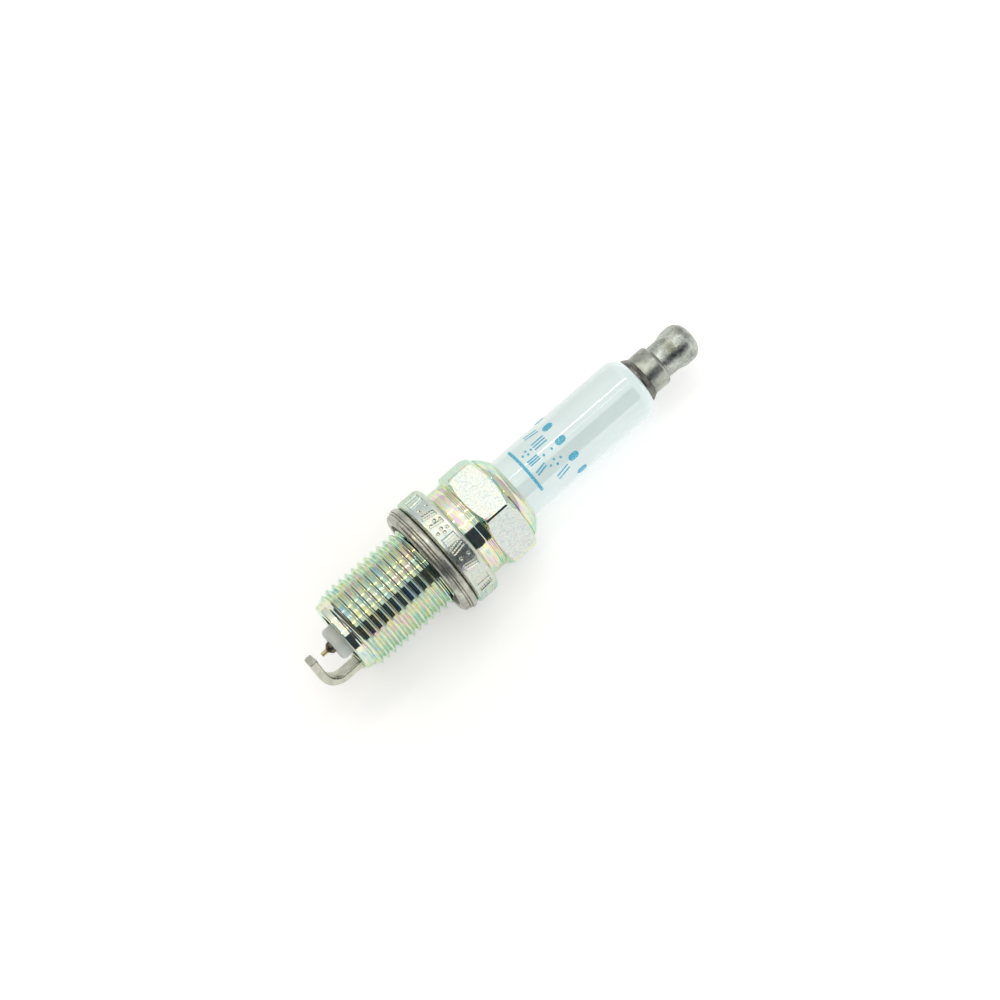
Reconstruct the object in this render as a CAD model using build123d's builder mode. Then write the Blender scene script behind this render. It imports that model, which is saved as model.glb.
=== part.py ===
from build123d import *

# Resistor spark plug: M14 x 1.25 thread, 19 mm reach, 16 mm hexagon, projected nose,
# fine centre tip, folded captive gasket and a solid terminal head.
#
# The plug's axis lies along X and points to the terminal. X = 0 is the shell's seat face,
# against which the gasket bears. Z is up with two flats of the hexagon facing up and down,
# so the plug lies on its side. All sizes are in millimetres, and an outline of a turned
# piece is a list of (x, radius) points.

import math
import os

# Shell, outside, along the axis
SHELL_END = -19.1
SHELL_END_CHAMFER = 0.25
PILOT_LENGTH = 1.1
PILOT_RADIUS = 6.06
THREAD_PITCH = 1.25
THREAD_RADIUS = 6.95
THREAD_ROOT_RADIUS = 6.2
THREAD_HALF_ANGLE = 30
THREAD_LEAD = 1.0  # length of the cone that leads in to the first turn
RELIEF_START = -2.7
RELIEF_RADIUS = 6.05
SEAT_CORNER = 0.3
COLLAR_HEIGHT = 4.0
COLLAR_RADIUS = 9.55
COLLAR_CHAMFER = 0.2
COLLAR_ROUND = 0.8
NECK_FOOT_RADIUS = 7.5
NECK_RADIUS = 7.7
NECK_TOP_RADIUS = 7.55
HEX_START = 7.0
HEX_START_RADIUS = 7.74  # small end of the cone turned on the hexagon's lower end
HEX_END = 12.75
HEX_END_RADIUS = 7.48
HEX_CORNER_RADIUS = 9.25
HEX_ACROSS_FLATS = 16.0
HEX_CONE_ANGLE = 30  # from the hexagon's end plane
DOME_START_RADIUS = 7.4
DOME_MIDDLE = (13.85, 6.65)
CRIMP_END = 14.65
CRIMP_END_RADIUS = 5.6

# Shell, inside
END_BORE_RADIUS = 4.4
END_BORE_CHAMFER = 0.2
LEDGE_RADIUS = 3.95
LEDGE_LENGTH = 0.85
BODY_BORE_RADIUS = 4.95
BODY_BORE_END = 0.6
CHAMBER_START = 2.4
CHAMBER_RADIUS = 6.75
CHAMBER_END = 12.3
CHAMBER_DOME_MIDDLE = (13.2, 6.2)
LIP_RADIUS = 5.4
LIP_LENGTH = 0.9
LIP_CORNER = 0.1
SEAT_LINE = 11.25  # on the shell's conical seat, radius = x + SEAT_LINE

# Insulator
NOSE_END = -20.9
NOSE_RADIUS = 2.7
NOSE_ROUND = 0.6
NOSE_STRAIGHT_END = -18.1
NOSE_ROOT_RADIUS = 3.65
NOSE_ROOT_LENGTH = 1.0
BODY_RADIUS = 4.75
BODY_END = 0.85
FLANGE_START = 2.65
FLANGE_END = 7.56
FLANGE_RADIUS = 6.55
TUCKED_START = 8.4
TUCKED_RADIUS = 4.95
BARREL_START = 14.7
BARREL_RADIUS = 5.2
BARREL_END = 39.7
BARREL_ROUND = 2.3  # length of the rounded corner at the terminal end
BARREL_ROUND_MIDDLE = (38.95, 4.75)
BARREL_END_RADIUS = 3.9
LOWER_BORE_RADIUS = 1.03
UPPER_BORE_RADIUS = 2.0
BORE_STEP = -4.5

# Conductors in the insulator
FIT = 0.02  # radial clearance between nested pieces
SHEATH_RADIUS = 0.97
SHEATH_END = -21.4
CORE_RADIUS = 0.58
CORE_END = -20.4
CORE_TOP = -2.2
TIP_RADIUS = 0.35
TIP_START = -21.85
TIP_END = -22.9
HEAD_RADIUS = 1.8
HEAD_STEM_RADIUS = 1.2
RESISTOR_START = 2.5
RESISTOR_END = 12.0
UPPER_SEAL_END = 17.5
STUD_FOOT = 14.0
STUD_RADIUS = 1.5
STUD_THREAD_RADIUS = 1.9
STUD_TOP = 46.8

# Terminal head
TERMINAL_FLANGE_RADIUS = 3.85
TERMINAL_START = 40.8
TERMINAL_RADIUS = 3.35
TERMINAL_STEP = 44.0
TERMINAL_NECK_RADIUS = 2.77
BULB_START = 45.7
BULB_LAND_START = 47.6
BULB_LAND = 1.2
BULB_RADIUS = 3.175
TERMINAL_END = 50.5

# Packings above and below the insulator's flange
PACKING_THICKNESS = 0.495  # measured along X, on the 45 degree seat
PACKING_INNER_RADIUS = 4.05
PACKING_OUTER_RADIUS = 4.75
PACKING_SHOULDER_RADIUS = 4.65
WIRE_RADIUS = 0.55
WIRE_CENTRE_RADIUS = 6.0
LOWER_WIRE_X = 8.5
UPPER_WIRE_X = 12.26

# Gasket
GASKET_FRONT = -2.5
GASKET_BACK = -0.08
GASKET_RADIUS = 9.5
GASKET_FRONT_RADIUS = 9.2
GASKET_LAND_RADIUS = 8.6  # outer edge of the flat front land
GASKET_BACK_LAND_RADIUS = 8.78
FRONT_ROLL_MIDDLE = (-2.3, 9.03)
FRONT_ROLL_END = -1.75
BACK_ROLL_MIDDLE = (-0.291, 9.289)
BACK_ROLL_START = -0.8
GASKET_GROOVE = -1.3
GASKET_GROOVE_HALF = 0.08
GASKET_GROOVE_DEPTH = 0.3
GASKET_LIP_RADIUS = 6.4
GASKET_OPENING_RADIUS = 7.75
GASKET_CORNER = 0.15
SHEET = 0.42

# Side electrode, in the plane through the axis that points STRAP_ANGLE from up
STRAP_ANGLE = 150
STRAP_WIDTH = 2.4
STRAP_THICKNESS = 1.3
STRAP_INNER = 4.65
STRAP_FACE = -24.1
STRAP_BEND_RADIUS = 2.0
STRAP_PAST_AXIS = 0.75
PAD_RADIUS = 0.45
PAD_THICKNESS = 0.3
PAD_PROUD = 0.08

os.makedirs("parts", exist_ok=True)


def write(piece, name):
    """Labels a finished piece and writes it as the node of that name."""
    piece.part.label = name
    export_step(piece.part, f"parts/{name}.step")


# ---------------------------------------------------------------- shell
# The thread is one V groove that winds round the shank, cut 60 degrees wide down to the
# root radius. It runs out over the pilot at one end and over the relief at the other.
GROOVE_DEPTH = THREAD_RADIUS + 0.1 - THREAD_ROOT_RADIUS
GROOVE_ROOT_HALF = THREAD_PITCH / 12
GROOVE_TOP_HALF = GROOVE_ROOT_HALF + GROOVE_DEPTH * math.tan(math.radians(THREAD_HALF_ANGLE))
GROOVE_START = SHELL_END + 0.05
GROOVE_LENGTH = RELIEF_START - GROOVE_START + 1.9
THREAD_START = SHELL_END + PILOT_LENGTH
THREAD_CHAMFER = THREAD_RADIUS - PILOT_RADIUS
LEDGE_START = LEDGE_RADIUS - SEAT_LINE - LEDGE_LENGTH
HEX_CONE_SLOPE = math.tan(math.radians(HEX_CONE_ANGLE))
HEX_START_CONE = (HEX_CORNER_RADIUS - HEX_START_RADIUS) * HEX_CONE_SLOPE
HEX_END_CONE = (HEX_CORNER_RADIUS - HEX_END_RADIUS) * HEX_CONE_SLOPE

with BuildLine(mode=Mode.PRIVATE) as groove_path:
    Helix(
        THREAD_PITCH,
        GROOVE_LENGTH,
        THREAD_ROOT_RADIUS,
        center=(GROOVE_START, 0, 0),
        direction=(1, 0, 0),
    )
groove_line = groove_path.line
groove_foot = groove_line @ 0
groove_plane = Plane(
    origin=groove_foot,
    x_dir=groove_foot - Vector(GROOVE_START, 0, 0),
    z_dir=groove_line % 0,
)

with BuildPart() as shell:
    # The hexagon, with both ends turned to a cone
    with BuildSketch(Plane.YZ.offset(HEX_START)):
        RegularPolygon(HEX_ACROSS_FLATS / 2, 6, major_radius=False)
    extrude(amount=HEX_END - HEX_START)
    with BuildSketch(Plane.XZ):
        with BuildLine():
            Polyline(
                (HEX_START, 0),
                (HEX_START, HEX_START_RADIUS),
                (HEX_START + HEX_START_CONE, HEX_CORNER_RADIUS),
                (HEX_END - HEX_END_CONE, HEX_CORNER_RADIUS),
                (HEX_END, HEX_END_RADIUS),
                (HEX_END, 0),
                close=True,
            )
        make_face()
    revolve(axis=Axis.X, mode=Mode.INTERSECT)
    # Everything else on the outside is turned
    with BuildSketch(Plane.XZ):
        with BuildLine():
            Polyline(
                (CRIMP_END, CRIMP_END_RADIUS),
                (CRIMP_END, 0),
                (SHELL_END, 0),
                (SHELL_END, PILOT_RADIUS - SHELL_END_CHAMFER),
                (SHELL_END + SHELL_END_CHAMFER, PILOT_RADIUS),
                (THREAD_START, PILOT_RADIUS),
                (THREAD_START + THREAD_LEAD, THREAD_RADIUS),
                (RELIEF_START - THREAD_CHAMFER, THREAD_RADIUS),
                (RELIEF_START, RELIEF_RADIUS),
                (-SEAT_CORNER, RELIEF_RADIUS),
                (0, RELIEF_RADIUS + SEAT_CORNER),
                (0, COLLAR_RADIUS - COLLAR_CHAMFER),
                (COLLAR_CHAMFER, COLLAR_RADIUS),
                (COLLAR_HEIGHT - COLLAR_ROUND, COLLAR_RADIUS),
            )
            RadiusArc(
                (COLLAR_HEIGHT - COLLAR_ROUND, COLLAR_RADIUS),
                (COLLAR_HEIGHT, COLLAR_RADIUS - COLLAR_ROUND),
                COLLAR_ROUND,
            )
            Polyline(
                (COLLAR_HEIGHT, COLLAR_RADIUS - COLLAR_ROUND),
                (COLLAR_HEIGHT, NECK_FOOT_RADIUS),
            )
            ThreePointArc(
                (COLLAR_HEIGHT, NECK_FOOT_RADIUS),
                ((COLLAR_HEIGHT + HEX_START) / 2, NECK_RADIUS),
                (HEX_START, NECK_TOP_RADIUS),
            )
            Polyline(
                (HEX_START, NECK_TOP_RADIUS),
                (HEX_END, NECK_TOP_RADIUS),
                (HEX_END, DOME_START_RADIUS),
            )
            ThreePointArc(
                (HEX_END, DOME_START_RADIUS),
                DOME_MIDDLE,
                (CRIMP_END, CRIMP_END_RADIUS),
            )
        make_face()
    revolve(axis=Axis.X)
    # Inside: end bore, ledge with its conical seat, body bore, chamber and crimp lip
    with BuildSketch(Plane.XZ):
        with BuildLine():
            Polyline(
                (CRIMP_END - LIP_LENGTH, LIP_RADIUS),
                (CRIMP_END - LIP_CORNER, LIP_RADIUS),
                (CRIMP_END, LIP_RADIUS + LIP_CORNER),
                (CRIMP_END + 1, LIP_RADIUS + LIP_CORNER),
                (CRIMP_END + 1, 0),
                (SHELL_END - 1, 0),
                (SHELL_END - 1, END_BORE_RADIUS + END_BORE_CHAMFER),
                (SHELL_END, END_BORE_RADIUS + END_BORE_CHAMFER),
                (SHELL_END + END_BORE_CHAMFER, END_BORE_RADIUS),
                (LEDGE_START - END_BORE_RADIUS + LEDGE_RADIUS, END_BORE_RADIUS),
                (LEDGE_START, LEDGE_RADIUS),
                (LEDGE_START + LEDGE_LENGTH, LEDGE_RADIUS),
                (BODY_BORE_RADIUS - SEAT_LINE, BODY_BORE_RADIUS),
                (BODY_BORE_END, BODY_BORE_RADIUS),
                (CHAMBER_START, CHAMBER_RADIUS),
                (CHAMBER_END, CHAMBER_RADIUS),
            )
            ThreePointArc(
                (CHAMBER_END, CHAMBER_RADIUS),
                CHAMBER_DOME_MIDDLE,
                (CRIMP_END - LIP_LENGTH, LIP_RADIUS),
            )
        make_face()
    revolve(axis=Axis.X, mode=Mode.SUBTRACT)
    # The thread groove
    with BuildSketch(groove_plane):
        with BuildLine():
            Polyline(
                (0, -GROOVE_ROOT_HALF),
                (GROOVE_DEPTH, -GROOVE_TOP_HALF),
                (GROOVE_DEPTH, GROOVE_TOP_HALF),
                (0, GROOVE_ROOT_HALF),
                close=True,
            )
        make_face()
    sweep(path=groove_line, is_frenet=True, mode=Mode.SUBTRACT)
write(shell, "shell")

# ---------------------------------------------------------------- gasket
# Sheet steel folded into two rolls, with a thin lip that the thread's crests hold captive
with BuildPart() as gasket:
    with BuildSketch(Plane.XZ):
        with BuildLine():
            Polyline(
                (GASKET_FRONT, GASKET_LAND_RADIUS),
                (GASKET_FRONT, GASKET_OPENING_RADIUS + GASKET_CORNER),
                (GASKET_FRONT + GASKET_CORNER, GASKET_OPENING_RADIUS),
                (GASKET_BACK - SHEET, GASKET_OPENING_RADIUS - 2 * GASKET_CORNER),
                (GASKET_BACK - SHEET, GASKET_LIP_RADIUS),
                (GASKET_BACK, GASKET_LIP_RADIUS),
                (GASKET_BACK, GASKET_BACK_LAND_RADIUS),
            )
            ThreePointArc(
                (GASKET_BACK, GASKET_BACK_LAND_RADIUS),
                BACK_ROLL_MIDDLE,
                (BACK_ROLL_START, GASKET_RADIUS),
            )
            Polyline(
                (BACK_ROLL_START, GASKET_RADIUS),
                (GASKET_GROOVE + 2 * GASKET_GROOVE_HALF, GASKET_RADIUS),
                (GASKET_GROOVE + GASKET_GROOVE_HALF, GASKET_FRONT_RADIUS - GASKET_GROOVE_DEPTH),
                (GASKET_GROOVE - GASKET_GROOVE_HALF, GASKET_FRONT_RADIUS - GASKET_GROOVE_DEPTH),
                (GASKET_GROOVE - 2 * GASKET_GROOVE_HALF, GASKET_FRONT_RADIUS),
                (FRONT_ROLL_END, GASKET_FRONT_RADIUS),
            )
            ThreePointArc(
                (FRONT_ROLL_END, GASKET_FRONT_RADIUS),
                FRONT_ROLL_MIDDLE,
                (GASKET_FRONT, GASKET_LAND_RADIUS),
            )
        make_face()
    revolve(axis=Axis.X)
write(gasket, "gasket")

# ---------------------------------------------------------------- insulator
# The shoulder lies parallel to the shell's seat, one packing thickness away
SHOULDER_LINE = SEAT_LINE - PACKING_THICKNESS
with BuildPart() as insulator:
    with BuildSketch(Plane.XZ):
        with BuildLine():
            Polyline(
                (NOSE_END, NOSE_RADIUS - NOSE_ROUND),
                (NOSE_END, LOWER_BORE_RADIUS),
                (BORE_STEP - UPPER_BORE_RADIUS + LOWER_BORE_RADIUS, LOWER_BORE_RADIUS),
                (BORE_STEP, UPPER_BORE_RADIUS),
                (BARREL_END, UPPER_BORE_RADIUS),
                (BARREL_END, BARREL_END_RADIUS),
            )
            ThreePointArc(
                (BARREL_END, BARREL_END_RADIUS),
                BARREL_ROUND_MIDDLE,
                (BARREL_END - BARREL_ROUND, BARREL_RADIUS),
            )
            Polyline(
                (BARREL_END - BARREL_ROUND, BARREL_RADIUS),
                (BARREL_START, BARREL_RADIUS),
                (BARREL_START, TUCKED_RADIUS),
                (TUCKED_START, TUCKED_RADIUS),
                (FLANGE_END, FLANGE_RADIUS),
                (FLANGE_START, FLANGE_RADIUS),
                (BODY_END, BODY_RADIUS),
                (BODY_RADIUS - SHOULDER_LINE, BODY_RADIUS),
                (NOSE_ROOT_RADIUS - SHOULDER_LINE, NOSE_ROOT_RADIUS),
                (NOSE_ROOT_RADIUS - SHOULDER_LINE - NOSE_ROOT_LENGTH, NOSE_ROOT_RADIUS),
                (NOSE_STRAIGHT_END, NOSE_RADIUS),
                (NOSE_END + NOSE_ROUND, NOSE_RADIUS),
            )
            RadiusArc(
                (NOSE_END + NOSE_ROUND, NOSE_RADIUS),
                (NOSE_END, NOSE_RADIUS - NOSE_ROUND),
                -NOSE_ROUND,
            )
        make_face()
    revolve(axis=Axis.X)
write(insulator, "insulator")

# ---------------------------------------------------------------- packings
with BuildPart() as seat_packing:
    with BuildSketch(Plane.XZ):
        with BuildLine():
            Polyline(
                (PACKING_INNER_RADIUS - SEAT_LINE + FIT, PACKING_INNER_RADIUS),
                (PACKING_OUTER_RADIUS - SEAT_LINE + FIT, PACKING_OUTER_RADIUS),
                (PACKING_SHOULDER_RADIUS - SHOULDER_LINE - FIT, PACKING_SHOULDER_RADIUS),
                (PACKING_INNER_RADIUS - SHOULDER_LINE - FIT, PACKING_INNER_RADIUS),
                close=True,
            )
        make_face()
    revolve(axis=Axis.X)
write(seat_packing, "seat_packing")

with BuildPart() as lower_packing_ring:
    with BuildSketch(Plane.XZ):
        with Locations((LOWER_WIRE_X, WIRE_CENTRE_RADIUS)):
            Circle(WIRE_RADIUS)
    revolve(axis=Axis.X)
write(lower_packing_ring, "lower_packing_ring")

with BuildPart() as talc_ring:
    with BuildSketch(Plane.XZ):
        with Locations(((LOWER_WIRE_X + UPPER_WIRE_X) / 2, WIRE_CENTRE_RADIUS - 0.12)):
            Rectangle(
                UPPER_WIRE_X - LOWER_WIRE_X - 2 * WIRE_RADIUS - 2 * FIT,
                CHAMBER_RADIUS - TUCKED_RADIUS - 4 * FIT,
            )
    revolve(axis=Axis.X)
write(talc_ring, "talc_ring")

with BuildPart() as upper_packing_ring:
    with BuildSketch(Plane.XZ):
        with Locations((UPPER_WIRE_X, WIRE_CENTRE_RADIUS)):
            Circle(WIRE_RADIUS)
    revolve(axis=Axis.X)
write(upper_packing_ring, "upper_packing_ring")

# ---------------------------------------------------------------- centre electrode
# A nickel sheath with a copper core; its head rests on the step in the insulator's bore
HEAD_START = BORE_STEP - UPPER_BORE_RADIUS + HEAD_RADIUS
with BuildPart() as centre_electrode:
    with BuildSketch(Plane.XZ):
        with BuildLine():
            Polyline(
                (TIP_START, 0),
                (TIP_START, TIP_RADIUS + 0.05),
                (SHEATH_END, SHEATH_RADIUS - 0.08),
                (SHEATH_END + 0.08, SHEATH_RADIUS),
                (HEAD_START - HEAD_RADIUS + SHEATH_RADIUS + FIT, SHEATH_RADIUS),
                (HEAD_START + FIT, HEAD_RADIUS),
                (HEAD_START + 0.7, HEAD_RADIUS),
                (HEAD_START + 0.95, HEAD_STEM_RADIUS),
                (CORE_TOP, HEAD_STEM_RADIUS),
                (CORE_TOP, CORE_RADIUS),
                (CORE_END, CORE_RADIUS),
                (CORE_END, 0),
                close=True,
            )
        make_face()
    revolve(axis=Axis.X)
write(centre_electrode, "centre_electrode")

with BuildPart() as centre_copper_core:
    with BuildSketch(Plane.YZ.offset(CORE_END)):
        Circle(CORE_RADIUS - FIT / 2)
    extrude(amount=CORE_TOP - CORE_END)
write(centre_copper_core, "centre_copper_core")

with BuildPart() as centre_tip:
    with BuildSketch(Plane.YZ.offset(TIP_END)):
        Circle(TIP_RADIUS)
    extrude(amount=TIP_START - TIP_END)
    chamfer(centre_tip.faces().sort_by(Axis.X)[0].edges(), 0.05)
write(centre_tip, "centre_tip")

# ---------------------------------------------------------------- glass seals and resistor
SEAL_RADIUS = UPPER_BORE_RADIUS - FIT / 2
SEAL_START = HEAD_START + 1.0
with BuildPart() as lower_glass_seal:
    with BuildSketch(Plane.XZ):
        with BuildLine():
            Polyline(
                (SEAL_START, SEAL_RADIUS),
                (SEAL_START, HEAD_STEM_RADIUS + FIT),
                (CORE_TOP, HEAD_STEM_RADIUS + FIT),
                (CORE_TOP, 0),
                (RESISTOR_START, 0),
                (RESISTOR_START, SEAL_RADIUS),
                close=True,
            )
        make_face()
    revolve(axis=Axis.X)
write(lower_glass_seal, "lower_glass_seal")

with BuildPart() as resistor:
    with BuildSketch(Plane.YZ.offset(RESISTOR_START)):
        Circle(SEAL_RADIUS)
    extrude(amount=RESISTOR_END - RESISTOR_START)
write(resistor, "resistor")

with BuildPart() as upper_glass_seal:
    with BuildSketch(Plane.XZ):
        with BuildLine():
            Polyline(
                (RESISTOR_END, 0),
                (RESISTOR_END, SEAL_RADIUS),
                (UPPER_SEAL_END, SEAL_RADIUS),
                (UPPER_SEAL_END, STUD_RADIUS + FIT),
                (STUD_FOOT, STUD_RADIUS + FIT),
                (STUD_FOOT, 0),
                close=True,
            )
        make_face()
    revolve(axis=Axis.X)
write(upper_glass_seal, "upper_glass_seal")

# ---------------------------------------------------------------- terminal stud and head
# The stud's foot has grip grooves for the glass, and its flange sits on the insulator
GRIP_GROOVES = 4
GRIP_PITCH = 0.8
with BuildPart() as terminal_stud:
    with BuildSketch(Plane.XZ):
        with BuildLine():
            Polyline(
                (TERMINAL_START, STUD_THREAD_RADIUS),
                (STUD_TOP - 0.4, STUD_THREAD_RADIUS),
                (STUD_TOP, STUD_THREAD_RADIUS - 0.4),
                (STUD_TOP, 0),
                (STUD_FOOT, 0),
                (STUD_FOOT, STUD_RADIUS - 0.2),
                (STUD_FOOT + 0.2, STUD_RADIUS),
                (BARREL_END, STUD_RADIUS),
                (BARREL_END, TERMINAL_FLANGE_RADIUS),
            )
            RadiusArc(
                (BARREL_END, TERMINAL_FLANGE_RADIUS),
                (TERMINAL_START, TERMINAL_FLANGE_RADIUS - 0.45),
                2.0,
            )
            Polyline(
                (TERMINAL_START, TERMINAL_FLANGE_RADIUS - 0.45),
                (TERMINAL_START, STUD_THREAD_RADIUS),
            )
        make_face()
    revolve(axis=Axis.X)
    for groove in range(GRIP_GROOVES):
        with BuildSketch(Plane.XZ):
            with Locations((STUD_FOOT + 0.6 + groove * GRIP_PITCH, STUD_RADIUS)):
                Circle(0.16)
        revolve(axis=Axis.X, mode=Mode.SUBTRACT)
write(terminal_stud, "terminal_stud")

BULB_LAND_END = BULB_LAND_START + BULB_LAND
with BuildPart() as terminal_nut:
    with BuildSketch(Plane.XZ):
        with BuildLine():
            Polyline(
                (TERMINAL_START, STUD_THREAD_RADIUS + FIT),
                (TERMINAL_START, TERMINAL_RADIUS),
                (TERMINAL_STEP - 0.6, TERMINAL_RADIUS),
            )
            RadiusArc(
                (TERMINAL_STEP - 0.6, TERMINAL_RADIUS),
                (TERMINAL_STEP, TERMINAL_NECK_RADIUS),
                0.6,
            )
            Line((TERMINAL_STEP, TERMINAL_NECK_RADIUS), (BULB_START, TERMINAL_NECK_RADIUS))
            Spline(
                (BULB_START, TERMINAL_NECK_RADIUS),
                (BULB_LAND_START, BULB_RADIUS),
                tangents=((1, 0), (1, 0)),
            )
            Line((BULB_LAND_START, BULB_RADIUS), (BULB_LAND_END, BULB_RADIUS))
            ThreePointArc(
                (BULB_LAND_END, BULB_RADIUS),
                (TERMINAL_END - 0.55, BULB_RADIUS - 0.6),
                (TERMINAL_END, BULB_RADIUS - 1.5),
            )
            Polyline(
                (TERMINAL_END, BULB_RADIUS - 1.5),
                (TERMINAL_END, 0),
                (STUD_TOP + 0.2, 0),
                (STUD_TOP + 0.2, STUD_THREAD_RADIUS + FIT),
                (TERMINAL_START, STUD_THREAD_RADIUS + FIT),
            )
        make_face()
    revolve(axis=Axis.X)
write(terminal_nut, "terminal_nut")

# ---------------------------------------------------------------- side electrode
# Drawn in its own plane: local x along the plug's axis, local y outwards from the axis
strap_plane = Plane(
    origin=(0, 0, 0),
    x_dir=(1, 0, 0),
    z_dir=Vector(0, -1, 0).rotate(Axis.X, STRAP_ANGLE),
)
STRAP_OUTER = STRAP_INNER + STRAP_THICKNESS
STRAP_END = STRAP_FACE - STRAP_THICKNESS
with BuildPart() as ground_electrode:
    with BuildSketch(strap_plane):
        with BuildLine():
            Polyline(
                (SHELL_END, STRAP_INNER),
                (SHELL_END, STRAP_OUTER),
                (STRAP_END + STRAP_BEND_RADIUS + STRAP_THICKNESS, STRAP_OUTER),
            )
            RadiusArc(
                (STRAP_END + STRAP_BEND_RADIUS + STRAP_THICKNESS, STRAP_OUTER),
                (STRAP_END, STRAP_OUTER - STRAP_BEND_RADIUS - STRAP_THICKNESS),
                -STRAP_BEND_RADIUS - STRAP_THICKNESS,
            )
            Polyline(
                (STRAP_END, STRAP_OUTER - STRAP_BEND_RADIUS - STRAP_THICKNESS),
                (STRAP_END, -STRAP_PAST_AXIS),
                (STRAP_FACE, -STRAP_PAST_AXIS),
                (STRAP_FACE, STRAP_INNER - STRAP_BEND_RADIUS),
            )
            RadiusArc(
                (STRAP_FACE, STRAP_INNER - STRAP_BEND_RADIUS),
                (STRAP_FACE + STRAP_BEND_RADIUS, STRAP_INNER),
                STRAP_BEND_RADIUS,
            )
            Line((STRAP_FACE + STRAP_BEND_RADIUS, STRAP_INNER), (SHELL_END, STRAP_INNER))
        make_face()
    extrude(amount=STRAP_WIDTH / 2, both=True)
    # Pocket for the pad
    with BuildSketch(Plane.YZ.offset(STRAP_FACE - PAD_THICKNESS + PAD_PROUD)):
        Circle(PAD_RADIUS + FIT / 2)
    extrude(amount=PAD_THICKNESS, mode=Mode.SUBTRACT)
write(ground_electrode, "ground_electrode")

with BuildPart() as ground_tip:
    with BuildSketch(Plane.YZ.offset(STRAP_FACE - PAD_THICKNESS + PAD_PROUD)):
        Circle(PAD_RADIUS)
    extrude(amount=PAD_THICKNESS)
write(ground_tip, "ground_tip")
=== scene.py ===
import math

import bmesh
import bpy
from mathutils import Matrix, Vector, noise


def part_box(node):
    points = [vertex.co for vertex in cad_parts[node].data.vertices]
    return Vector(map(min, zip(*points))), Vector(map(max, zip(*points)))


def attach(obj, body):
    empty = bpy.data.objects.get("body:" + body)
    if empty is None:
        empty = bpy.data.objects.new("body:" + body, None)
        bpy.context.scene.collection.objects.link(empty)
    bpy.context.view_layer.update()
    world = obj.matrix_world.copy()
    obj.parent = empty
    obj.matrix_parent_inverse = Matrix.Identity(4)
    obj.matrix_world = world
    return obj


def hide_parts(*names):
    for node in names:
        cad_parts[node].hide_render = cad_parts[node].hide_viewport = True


# A spark plug, lying on a pale table. Sizes of the plug are in millimetres and become metres
# when a vertex is placed. The plug's axis is the X axis. Going round it, step 0 is straight
# up and the steps turn towards -Y. An outline of a turned piece is a list of (x, radius).

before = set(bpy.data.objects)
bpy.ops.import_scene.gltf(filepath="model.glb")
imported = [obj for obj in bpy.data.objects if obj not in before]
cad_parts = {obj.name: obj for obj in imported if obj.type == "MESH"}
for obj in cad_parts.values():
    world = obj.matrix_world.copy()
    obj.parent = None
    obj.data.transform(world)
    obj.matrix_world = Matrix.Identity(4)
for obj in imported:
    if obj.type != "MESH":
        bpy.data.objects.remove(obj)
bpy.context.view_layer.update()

MM = 0.001
STEPS = 840
COARSE = range(0, STEPS, 7)
FINE = range(STEPS)
CORNER_STEPS = [STEPS // 12 * (2 * corner + 1) for corner in range(6)]
HEX_STEPS = sorted(
    list(COARSE) + [corner + side for corner in CORNER_STEPS for side in range(-6, 7) if side]
)
WELD_DISTANCE = 2e-6
SHARP_ANGLE = math.radians(40)


def in_mm(value):
    return value / MM


def node_span(node):
    """Where a CAD node starts and ends along the axis, and its largest radius, in millimetres."""
    low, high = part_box(node)
    return in_mm(low.x), in_mm(high.x), in_mm(max(high.y, high.z))


# ---------------------------------------------------------------- sizes
SHELL_END, CRIMP_END, COLLAR_RADIUS = node_span("shell")
NOSE_END, BARREL_END = node_span("insulator")[:2]
GASKET_FRONT, GASKET_BACK, GASKET_RADIUS = node_span("gasket")
TERMINAL_START, TERMINAL_END, TERMINAL_RADIUS = node_span("terminal_nut")
STUD_FOOT, STUD_TOP, STUD_FLANGE_RADIUS = node_span("terminal_stud")
SHEATH_START, SHEATH_TOP, HEAD_RADIUS = node_span("centre_electrode")
TIP_END, TIP_START, TIP_RADIUS = node_span("centre_tip")
PAD_START, PAD_FACE, PAD_RADIUS = node_span("ground_tip")
STRAP_END = node_span("ground_electrode")[0]

# Thread, with crest, root, pilot and relief as radii
PITCH = 1.25
CREST = 6.95
ROOT = 6.2
PILOT = 6.06
RELIEF = 6.05
THREAD_FROM = SHELL_END + 1.1
THREAD_TO = -2.1
THREAD_LEAD = 1.0
THREAD_ROWS = 16  # rows of vertices in each pitch
THREAD_ROUNDING = 0.14
GROOVE_START = SHELL_END + 0.05
HALF_GROOVE_ANGLE = math.radians(30)

# Shell above the thread
COLLAR_HEIGHT = 4.0
COLLAR_ROUND = 0.8
COLLAR_ROWS = 32  # rows of faces in the stamped band
NECK = 7.7
TOOL_RINGS = 3
TOOL_RING_PITCH = 0.27
HEX_START = 7.0
HEX_START_RADIUS = 7.74
HEX_END = 12.75
HEX_END_RADIUS = 7.48
HEX_APOTHEM = 8.0
HEX_ROUNDING = 0.72
HEX_EDGE = 0.05
HEX_CONE = math.tan(math.radians(60))
HALF_FLAT = math.radians(30)  # half the angle that a flat takes up
HEX_FLAT_HALF_WIDTH = (HEX_APOTHEM - HEX_ROUNDING) * math.tan(HALF_FLAT)

# Shell, inside
END_BORE = 4.4
LEDGE = 3.95
BODY_BORE = 4.95
CHAMBER = 6.75
LIP = 5.4

# Insulator
NOSE = 2.7
NOSE_ROOT = 3.65
INSULATOR_BODY = 4.75
INSULATOR_FLANGE = 6.55
BARREL_START = 14.7
BARREL_RADIUS = 5.2
BARREL_ROUND_START = BARREL_END - 2.3
UPPER_BORE = 2.0
LOWER_BORE = 1.03

GASKET_SHEET = 0.42

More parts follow.
